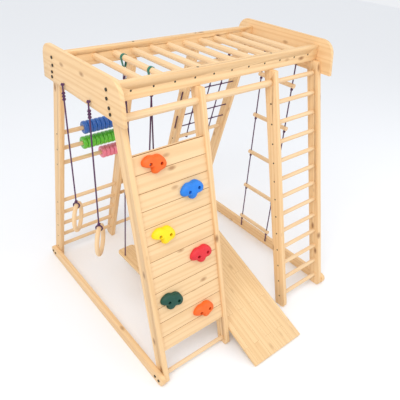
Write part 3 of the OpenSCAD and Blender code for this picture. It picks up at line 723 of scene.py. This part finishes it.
def dress_node(node: str, material: bpy.types.Material) -> None:
    """Gives a CAD node that stays in view its material.

    Args:
        node: The node's name.
        material: Its material.
    """
    mesh_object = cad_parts[node]
    if not mesh_object.material_slots:
        mesh_object.data.materials.append(material)
    for slot in mesh_object.material_slots:
        slot.material = material
    LOG.info("%s keeps its CAD shape", node)


# ---- Ropes ---------------------------------------------------------------------------
@dataclass
class RopeLocker:
    """Three-strand laid rope and its overhand knots."""

    gym: Gym
    material: bpy.types.Material
    lay: float = 0.026
    sides: int = 12
    swell: float = 0.07
    strand_r: float = 0.0036
    strand_in: float = 0.0032
    knot_rise: float = 1.3

    def tube(self, path: np.ndarray, normal: np.ndarray, closed: bool = False) -> Patch:
        """A rope: radius times 1 plus swell times cosine of three turns, turning once in each lay.

        Args:
            path: Its middle line.
            normal: A direction that it never runs along.
            closed: True for a ring of rope.

        Returns:
            The surface.
        """
        reach = np.concatenate([[0.0], np.cumsum(np.linalg.norm(np.diff(path, axis=0), axis=1))])
        turn = angles(self.sides)[None] + 0 * reach[:, None]
        twist = 2 * math.pi * reach[:, None] / self.lay
        radius = self.gym.rope_d / 2 * (1 + self.swell * np.cos(3 * (turn - twist)))
        section = np.stack([radius * np.cos(turn), radius * np.sin(turn)], axis=-1)
        return carried(path, section, normal, closed)

    def straight(self, start: np.ndarray, end: np.ndarray, normal: np.ndarray) -> Patch:
        """A rope pulled straight between two points."""
        return self.tube(route([start, end]), normal)

    def knot(self, centre: np.ndarray, axis: np.ndarray) -> Patch:
        """An overhand knot pulled tight: the trefoil curve, with its three-fold axis along the rope.

        Args:
            centre: Its middle.
            axis: The direction of the rope through it.

        Returns:
            The surface.
        """
        t = angles(48)
        size = (self.gym.knot_r - self.strand_in) / 3
        x, y = np.sin(t) + 2 * np.sin(2 * t), np.cos(t) - 2 * np.cos(2 * t)
        z = -self.knot_rise * np.sin(3 * t)
        axis = axis / np.linalg.norm(axis)
        first = np.cross(axis, [0.31, 0.95, 0.02])
        first /= np.linalg.norm(first)
        path = centre + size * np.stack([x, y, z], axis=-1) @ np.stack([first, np.cross(axis, first), axis])
        return carried(path, circle(self.strand_r, 8), axis, closed=True)

    def tied(self, name: str, patches: list[Patch], body: str, node: str) -> bpy.types.Object:
        """A piece of rope and knots that moves with a body and stands for a CAD node."""
        return dressed(piece(name, patches), body, "plum_rope", self.material, (node,))

    def hung(self, name: str, corners: list[np.ndarray], body: str, node: str,
             fittings: bpy.types.Object) -> None:
        """A length of rope that both its ends hold.

        Args:
            name: The piece's name.
            corners: The points that it passes.
            body: The body that it moves with.
            node: The CAD node that it stands for.
            fittings: The knots and eyes on it; not used.
        """
        path = route(corners)
        made = self.tied(name, [self.tube(path, INWARD)], body, node)


@dataclass
class Swing:
    """The swing: webbing straps on a monkey bar, steel links, two forked ropes and a board seat."""

    gym: Gym
    ropes: RopeLocker
    webbing: bpy.types.Material
    steel: bpy.types.Material
    x: float = -0.345
    ys: tuple[float, float] = (-0.090, 0.156)
    seat_top: float = 0.192
    seat_under: float = 0.174
    hole_x: float = 0.046
    bend: float = 0.008
    strap_r: float = 0.0178
    strap_half: tuple[float, float] = (0.0015, 0.009)
    eye_r: float = 0.0055
    drop: float = 0.046
    link_half: tuple[float, float] = (0.014, 0.029)
    wire_r: float = 0.003
    link_z: float = 1.4033
    link_low: float = 1.3743
    rope_eye_r: float = 0.0078
    knot_z: float = 1.35674

    def strap(self, y: float) -> Patch:
        """A band whose line is a large arc over the bar, a small arc below and their two tangents."""
        lean = math.asin((self.strap_r - self.eye_r) / self.drop)
        over = np.linspace(-lean, math.pi + lean, 40)
        under = np.linspace(math.pi + lean, 2 * math.pi - lean, 16)
        x = np.concatenate([self.strap_r * np.cos(over), self.eye_r * np.cos(under)])
        z = np.concatenate([self.strap_r * np.sin(over), self.eye_r * np.sin(under) - self.drop])
        path = self.gym.at(self.x, y, self.gym.bar_z) + np.stack([x, 0 * x, z], axis=-1)
        return carried(path, oblong(angles(20), self.strap_half, (0.5, 0.3)), INWARD, closed=True)

    def link(self, y: float) -> Patch:
        """Round wire along a rounded rectangle."""
        wire = oblong(angles(64), self.link_half, (0.33, 0.33))
        path = self.gym.at(self.x, y, self.link_z) + np.insert(wire, 0, 0.0, axis=1)
        return carried(path, circle(self.wire_r, 12), ACROSS, closed=True)

    def build(self) -> None:
        """Builds the straps, links and ropes; the seat is in the carcass."""
        dressed(piece("webbing_straps", [self.strap(y) for y in self.ys]), "swing", "green_webbing",
                self.webbing, ("swing_straps",))
        dressed(piece("chain_links", [self.link(y) for y in self.ys]), "swing", "steel", self.steel,
                ("swing_links",))
        at, ropes = self.gym.at, self.ropes
        for side, y in zip(("front", "rear"), self.ys):
            node = f"swing_{side}_rope"
            eye = loop(at(self.x, y, self.link_low), ACROSS, self.rope_eye_r, 36)
            top, under = at(self.x, y, self.knot_z), self.seat_under - self.gym.knot_off
            knots = [ropes.knot(top, UP)]
            knots += [ropes.knot(at(self.x + s * self.hole_x, y, under), UP) for s in (-1, 1)]
            tied = ropes.tied(f"swing_{side}_knots", [ropes.tube(eye, INWARD, True), *knots], "swing", node)
            for name, s in (("outer", -1), ("inner", 1)):
                x = self.x + s * self.hole_x
                corners = [top, at(x, y, self.seat_top + self.bend),
                           at(x, y, self.seat_under - self.gym.knot_r / 2)]
                ropes.hung(f"swing_{side}_{name}_rope", corners, "swing", node, tied)


@dataclass
class GymRings:
    """Two bentwood rings on ropes outside the left end panel."""

    gym: Gym
    ropes: RopeLocker
    wood: bpy.types.Material
    x: float = -0.6899
    places: tuple[tuple[str, float], ...] = (("front", -0.110), ("rear", 0.150))
    ring_r: float = 0.078
    wire_r: float = 0.012
    ring_z: float = 0.632
    hole_z: float = 1.400
    knot_z: float = 0.73656
    eye_r: float = 0.0168
    wound_z: tuple[float, ...] = (1.357, 1.342, 1.327)
    turn: float = math.radians(50)

    def build(self) -> None:
        """Builds each ring as a tube on a circle, with its rope, its eye and its knots."""
        at, ropes, end = self.gym.at, self.ropes, -self.gym.half_len
        along = np.array([math.cos(self.turn), math.sin(self.turn), 0.0])
        square = np.array([-along[1], along[0], 0.0])
        anchors = []
        for name, y in self.places:
            body, node = f"{name}_ring", f"{name}_ring_rope"
            ring = loop(at(self.x, y, self.ring_z), along, self.ring_r, 96)
            dressed(piece(f"{name}_bentwood_ring", [carried(ring, circle(self.wire_r, 24), square, True)]),
                    body, "beech_dowel", self.wood, (f"{name}_gym_ring",))
            eye = loop(at(self.x, y, self.ring_z + self.ring_r), square, self.eye_r, 48)
            knots = [ropes.knot(at(self.x, y, z), UP) for z in (self.knot_z, self.hole_z, *self.wound_z)]
            tied = ropes.tied(f"{name}_ring_knots", [ropes.tube(eye, along, True), *knots], body, node)
            corners = [at(self.x, y, self.hole_z), at(self.x, y, self.knot_z)]
            ropes.hung(f"{name}_ring_line", corners, body, node, tied)
            inside = at(end + self.gym.knot_off, y, self.hole_z)
            anchors += [ropes.straight(at(end - self.gym.panel_t, y, self.hole_z), inside, INWARD),
                        ropes.knot(inside, ACROSS)]
        ropes.tied("ring_anchor_knots", anchors, "frame", "ring_rope_anchors")


@dataclass
class RopeLadder:
    """The rope ladder inside the right end: two ropes knotted under each rung."""

    gym: Gym
    ropes: RopeLocker
    x: float = 0.652
    places: tuple[tuple[str, float], ...] = (("front", -0.150), ("rear", 0.110))
    top: float = 1.400
    low: float = 0.035
    rung_top: float = 1.250
    pitch: float = 0.281
    rungs: int = 5
    rung_r: float = 0.014
    stub_top: float = 0.6899
    stub_low: float = 0.6979

    def build(self) -> None:
        """Builds each rope from its panel knot down to its rail knot."""
        at, ropes = self.gym.at, self.ropes
        under = self.rung_top - self.rung_r - self.gym.knot_off
        for name, y in self.places:
            node = f"rope_ladder_{name}_rope"
            ends = [at(self.stub_top, y, self.top), at(self.stub_low, y, self.low)]
            knots = [ropes.knot(point, ACROSS) for point in ends]
            knots += [ropes.knot(at(self.x, y, under - i * self.pitch), UP) for i in range(self.rungs)]
            tied = ropes.tied(f"rope_ladder_{name}_knots", knots, "frame", node)
            corners = [ends[0], at(self.x, y, self.top), at(self.x, y, self.low), ends[1]]
            ropes.hung(f"rope_ladder_{name}_line", corners, "frame", node, tied)


@dataclass
class Net:
    """The climbing net: ropes across and up, knotted where they cross and laced through the inner leg."""

    gym: Gym
    ropes: RopeLocker
    bottom: float = 0.812
    pitch: float = 0.094
    rows: int = 5
    row_in: float = 0.04165
    column_in: float = 0.03335
    rung_r: float = 0.0125
    lacing_off: float = 0.0046
    lacing_short: float = 0.012

    def place(self, x: float, inward: float, up: float) -> np.ndarray:
        """A point given across, inward and up the rear side."""
        return self.gym.slope([x, inward, up], rear=True)

    def build(self) -> None:
        """Builds the ropes across, the ropes up and the lacing on the inner leg's far face."""
        gym, ropes, place = self.gym, self.ropes, self.place
        left = -gym.half_len + gym.leg_t
        outside, lacing = left - gym.leg_t - gym.knot_off, left + gym.wall_w + gym.leg_t + self.lacing_off
        top = self.bottom + (self.rows + 1) * self.pitch
        ups = [self.bottom + (i + 1) * self.pitch for i in range(self.rows)]
        normal = place(0, 1, 0) - place(0, 0, 0)
        across, upright = [], []
        for up in ups:
            start = place(outside, self.row_in, up)
            across += [ropes.straight(start, place(lacing, self.row_in, up), normal),
                       ropes.knot(start, ACROSS)]
        # The lacing shows on every second stretch, because it passes back through the leg between them
        for low, high in ((ups[0], ups[1]), (ups[2], ups[3]), (ups[4], top - self.lacing_short)):
            ends = [place(lacing, self.row_in, up) for up in (low, high)]
            across.append(ropes.straight(*ends, normal))
        ropes.tied("net_rows", across, "frame", "net_row_rope")
        for x in (left + i * gym.wall_w / 4 for i in (1, 2, 3)):
            low, high = self.bottom - self.rung_r - gym.knot_off, top + self.rung_r + gym.knot_off
            ends = [place(x, self.column_in, up) for up in (low, high)]
            upright.append(ropes.straight(*ends, ACROSS))
            upright += [ropes.knot(point, ends[1] - ends[0]) for point in ends]
            upright += [ropes.knot(place(x, (self.row_in + self.column_in) / 2, up), normal) for up in ups]
        ropes.tied("net_uprights", upright, "frame", "net_column_ropes")


# ---- Holds and beads -------------------------------------------------------------------
class HoldShape(Enum):
    """The lobes of a cast hold: middle across, up and out, and radius, in millimetres."""

    EARED = ((-44, 4, 4, 20), (-22, 12, 12, 27), (20, 6, 10, 34), (40, -8, 8, 25), (8, -30, 4, 20))
    ROUNDED = ((-44, 4, 4, 24), (-22, 16, 12, 27), (20, 6, 10, 34), (40, -8, 8, 25), (-8, -30, 4, 20))


@dataclass
class Hold:
    """One cast climbing hold with its two bolt holes.

    Each bore is a radius and how far out of the boards it starts: the head's, then the shank's.
    """

    gym: Gym
    node: str
    shape: HoldShape
    across: float
    up: float
    turn: float
    colour: str
    height: float = 0.036
    lobe_higher: float = 0.007
    lobe_reach: float = 0.060
    foot_in: float = 0.97
    bolt_half: float = 0.027
    bores: tuple[tuple[float, float], ...] = ((0.0085, 0.012), (0.0042, -0.002))
    tool_top: float = 0.060

    def placed(self, local: np.ndarray) -> np.ndarray:
        """Turns points in the hold's own frame, out of the boards, to places in the row."""
        angle = math.radians(self.turn)
        x = local[..., 0] * math.cos(angle) - local[..., 1] * math.sin(angle)
        y = local[..., 0] * math.sin(angle) + local[..., 1] * math.cos(angle)
        across = -self.gym.half_len + self.gym.leg_t + self.across + x
        inward = self.gym.board_recess - local[..., 2]
        return self.gym.slope(np.stack([across, inward, self.up + y], axis=-1))

    def outline(self, azimuth: np.ndarray) -> np.ndarray:
        """How far the plate reaches in each direction: the eighth root of the sum of the lobes' reaches to
        the power eight, then each the mean of its neighbours within a twelfth of a turn.

        Args:
            azimuth: Equal angles once round.

        Returns:
            The reach at each angle, in metres.
        """
        lobes = np.array(self.shape.value) * MM
        way = np.stack([np.cos(azimuth), np.sin(azimuth)], axis=-1)
        toward = way @ lobes[:, :2].T
        inside = toward ** 2 - (lobes[:, :2] ** 2).sum(axis=1) + lobes[:, 3] ** 2
        reach = np.where(inside > 0, toward + np.sqrt(np.maximum(inside, 0)), MM)
        reach = (np.maximum(reach, MM) ** 8).sum(axis=-1) ** (1 / 8)
        near = len(azimuth) // 24
        return np.mean([np.roll(reach, shift) for shift in range(-near, near + 1)], axis=0)

    def body(self) -> Patch:
        """A plate: its outline times cosine to the power 0.55, as high as sine to the power 0.8, and
        higher towards its big lobe."""
        azimuth = angles(120)
        rise = np.radians(np.concatenate([[0.5, 3, 7], np.linspace(12, 89.5, 30)]))[:, None]
        edge = self.outline(azimuth)[None] * np.cos(rise) ** 0.55
        edge[0] *= self.foot_in
        x, y = edge * np.cos(azimuth), edge * np.sin(azimuth)
        top = self.height + self.lobe_higher * np.clip(x / self.lobe_reach, -1, 1)
        z = TOUCH_GAP + (top - TOUCH_GAP) * np.sin(rise) ** 0.8
        z[0] = TOUCH_GAP
        return Patch(self.placed(np.stack([x, y, z], axis=-1)))

    def cutter(self, side: int, radius: float, low: float) -> bpy.types.Object:
        """A round tool that reaches out through the hold from one level, to be cut away from it."""
        ring = circle(radius, 32) + [side * self.bolt_half, 0]
        stack = np.stack([np.insert(ring, 2, z, axis=1) for z in (low, self.tool_top)])
        return piece(f"{self.node}_tool", [Patch(self.placed(stack))])

    def build(self) -> None:
        """Casts the hold and bores it for its bolts."""
        made = piece(f"cast_{self.node}", [self.body()])
        tools = [self.cutter(side, radius, low) for side in (-1, 1) for radius, low in self.bores]
        for tool in tools:
            cut = made.modifiers.new("bore", "BOOLEAN")
            cut.operation, cut.object, cut.solver = "DIFFERENCE", tool, "EXACT"
        graph = bpy.context.evaluated_depsgraph_get()
        bored = bpy.data.meshes.new_from_object(made.evaluated_get(graph))
        made.modifiers.clear()
        made.data = bored
        for tool in tools:
            bpy.data.objects.remove(tool, do_unlink=True)
        shade(bored)
        dressed(made, "frame", f"{self.colour}_plastic", RESINS[self.colour].material(), (self.node,))


@dataclass
class BeadRow:
    """A row of turned and painted beads on one rung."""

    gym: Gym
    colour: str
    paint: Enamel
    up: float
    count: int
    radius: float = 0.038
    bore: float = 0.013
    width: float = 0.026
    pitch: float = 0.0263
    first: float = 0.242

    def bead(self, x: float) -> Patch:
        """A turned disc round the middle of the leg's width: its section is a rounded square."""
        middle, half = (self.radius + self.bore) / 2, (self.radius - self.bore) / 2
        away, along = (oblong(angles(28), (half, self.width / 2), (0.7, 0.7)) + [middle, x]).T
        turn = angles(48)[:, None]
        inward, up = self.gym.leg_w / 2 + away * np.sin(turn), self.up + away * np.cos(turn)
        local = np.stack([along + 0 * turn, inward, up], axis=-1)
        return Patch(self.gym.slope(local, True), closed_rows=True)

    def build(self) -> None:
        """Turns and paints the row."""
        starts = self.first + TOUCH_GAP + self.pitch * np.arange(self.count) + self.width / 2
        node = f"{self.colour}_beads"
        dressed(piece(f"turned_{node}", [self.bead(x) for x in starts]), f"{self.colour}_bead_row",
                f"{self.colour}_paint", self.paint.material(), (node,))


# ---- Studio ---------------------------------------------------------------------------
@dataclass
class Studio:
    """A pale floor, soft light and the camera."""

    camera_at: tuple[float, float, float] = (-1.4956, -1.7256, 2.1218)
    azimuth: float = math.radians(-40.332)
    pitch: float = math.radians(33.896)
    roll: float = math.radians(3.333)
    lens_mm: float = 39.84
    shift: tuple[float, float] = (0.0190, 0.0156)
    aim: tuple[float, float, float] = (0.0, 0.0, 0.7)
    floor_half: float = 12.0
    floor_low: float = 0.0005

    def camera(self) -> None:
        """Puts the camera where it looks along its azimuth and down by its pitch."""
        a, p = self.azimuth, self.pitch
        ahead = Vector((-math.sin(a) * math.cos(p), math.cos(a) * math.cos(p), -math.sin(p)))
        level = Vector((math.cos(a), math.sin(a), 0.0))
        above = level.cross(ahead)
        right = level * math.cos(self.roll) + above * math.sin(self.roll)
        top = above * math.cos(self.roll) - level * math.sin(self.roll)
        data = bpy.data.cameras.new("studio_camera")
        data.sensor_width, data.lens = 36.0, self.lens_mm
        data.shift_x, data.shift_y = self.shift
        camera = bpy.data.objects.new("studio_camera", data)
        turned = Matrix((right, top, -ahead)).transposed().to_4x4()
        camera.matrix_world = Matrix.Translation(self.camera_at) @ turned
        bpy.context.scene.collection.objects.link(camera)
        bpy.context.scene.camera = camera

    def lamp(self, name: str, at: tuple[float, float, float], size: float, power: float) -> None:
        """A square soft box that faces the middle of the gym."""
        data = bpy.data.lights.new(name, "AREA")
        data.shape, data.size, data.energy = "SQUARE", size, power
        lamp = bpy.data.objects.new(name, data)
        aim = Vector(self.aim) - Vector(at)
        lamp.matrix_world = Matrix.Translation(at) @ aim.to_track_quat("-Z", "Y").to_matrix().to_4x4()
        bpy.context.scene.collection.objects.link(lamp)

    def light(self) -> None:
        """A bright even surround with one large soft box from the left and one fill."""
        world = bpy.data.worlds.new("studio_surround")
        world.use_nodes = True
        surround = world.node_tree.nodes["Background"].inputs
        surround["Color"].default_value = linear("#FAFCFF")
        surround["Strength"].default_value = 0.9
        bpy.context.scene.world = world
        bpy.context.scene.view_settings.view_transform = "Standard"
        self.lamp("key_box", (-2.2, -1.6, 4.2), size=2.6, power=80.0)
        self.lamp("fill_box", (3.2, -2.6, 2.6), size=3.0, power=30.0)

    def floor(self) -> None:
        """A wide floor of matt white card, a hair below the feet."""
        side = np.linspace(-self.floor_half, self.floor_half, 3)
        x, y = np.meshgrid(side, side, indexing="ij")
        card = np.stack([x, y, 0 * x - self.floor_low], axis=-1)
        made = piece("studio_floor", [Patch(card, closed_columns=False)])
        matt = {"Base Color": linear("#F6F7F9"), "Roughness": 0.9}
        material, tree, shader = blank("matt_white_card", matt)
        where = add(tree, "ShaderNodeTexCoord").outputs["Object"]
        finish(tree, shader, {}, noise(tree, where, 400.0), 0.05)
        made.data.materials.append(material)


def main() -> None:
    """Builds the camera, the ropes, the wood, the holds and the toys, and reports each piece."""
    logging.basicConfig(level=logging.INFO, format="%(message)s")
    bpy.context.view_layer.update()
    gym = Gym()
    studio = Studio()
    studio.camera()
    # Polypropylene rope: dull plum, with painted shade darkening the valleys between yarns
    rope = Thread("polypropylene_rope", "#663463", "#3A1F42", 2.4, 0.6).material()
    # Polypropylene webbing: deep green with a visible rib across it, and painted shade in the grooves
    # between ribs
    webbing = Thread("polypropylene_webbing", "#22866F", "#125846", 1.6, math.pi / 2).material()
    # Zinc plate: pale grey and softly bright
    zinc = Steel("zinc_plated_steel", "#C9CCD0", 0.32).material()
    # Phosphated screws: dark grey, hardly shiny
    phosphate = Steel("phosphated_steel", "#4A4640", 0.5).material()
    locker = RopeLocker(gym, rope)
    Swing(gym, locker, webbing, zinc).build()
    GymRings(gym, locker, BEECH.material(gym.grains()["ring"])).build()
    RopeLadder(gym, locker).build()
    Net(gym, locker).build()
    carcass = Carcass(gym)
    carcass.rounded()
    carcass.kept()
    for node, shape, across, up, turn, colour in (
            ("upper_orange_hold", HoldShape.EARED, 0.102, 1.210, -8.0, "orange"),
            ("blue_hold", HoldShape.ROUNDED, 0.294, 1.026, 10.0, "blue"),
            ("yellow_hold", HoldShape.EARED, 0.096, 0.856, -6.0, "yellow"),
            ("red_hold", HoldShape.ROUNDED, 0.302, 0.668, 8.0, "red"),
            ("green_hold", HoldShape.ROUNDED, 0.088, 0.488, -12.0, "green"),
            ("lower_orange_hold", HoldShape.EARED, 0.274, 0.334, 6.0, "orange")):
        Hold(gym, node, shape, across, up, turn, colour).build()
    for colour, plain, thin, up, count in (
            ("blue", "#1E5FB4", "#2F72C4", 1.094, 10), ("green", "#5CC02A", "#74D042", 0.982, 10),
            ("pink", "#F08098", "#F496AA", 0.870, 5)):
        BeadRow(gym, colour, Enamel(f"{colour}_enamel", plain, thin), up, count).build()
    for node in ("hold_bolts", "hold_tee_nuts"):
        dress_node(node, zinc)
    for node in ("panel_bolts", "rail_bolts", "beam_screws", "rung_screws"):
        dress_node(node, phosphate)
    studio.light()
    studio.floor()


if __name__ == "__main__":
    main()
